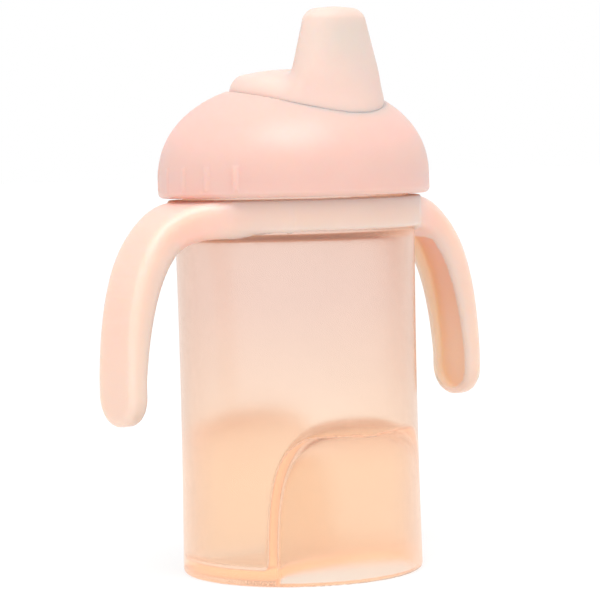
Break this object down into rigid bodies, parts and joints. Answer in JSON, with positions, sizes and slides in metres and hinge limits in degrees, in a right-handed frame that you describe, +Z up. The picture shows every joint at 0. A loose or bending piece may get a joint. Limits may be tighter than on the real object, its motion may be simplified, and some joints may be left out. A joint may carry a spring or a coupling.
{
  "type": "sippy cup",
  "caption": "Translucent training cup with a screw-on domed lid, soft oval spout and a ring with two drooping side handles.",
  "frame": {"origin": "centre of the standing rim, on the plane the cup stands on", "axes": "+Z up along the cup's axis, -Y towards the spout, +X and -X towards the handles"},
  "size_m": [0.1224, 0.0746, 0.1536],
  "materials": {
    "translucent_cup": "glossy translucent",
    "peach_moulding": "satin moulded",
    "pale_moulding": "satin moulded",
    "peach_silicone": "soft matte silicone",
    "clear_silicone": "milky clear silicone"
  },
  "bodies": {
    "cup": {"cup_body": "translucent_cup"},
    "handles": {"handle_ring": "peach_moulding"},
    "gasket": {"lid_gasket": "clear_silicone"},
    "lid": {"screw_lid": "peach_moulding", "soft_spout": "peach_silicone", "spout_retainer": "pale_moulding", "drink_valve": "clear_silicone", "air_valve": "clear_silicone"}
  },
  "joints": [
    {"name": "handles_turn", "type": "hinge", "parent": "cup", "child": "handles", "pos_m": [0, 0, 0.098], "axis": [0, 0, 1], "continuous": true},
    {"name": "lid_lift", "type": "slide", "parent": "cup", "child": "gasket", "axis": [0, 0, 1], "range_m": [0, 0.0135]},
    {"name": "lid_turn", "type": "hinge", "parent": "gasket", "child": "lid", "pos_m": [0, 0, 0.11], "axis": [0, 0, 1], "range_deg": [0, 1080]}
  ],
  "couplings": [
    {"joint": "lid_lift", "follows": "lid_turn", "m_per_rad": 0.0007162}
  ]
}
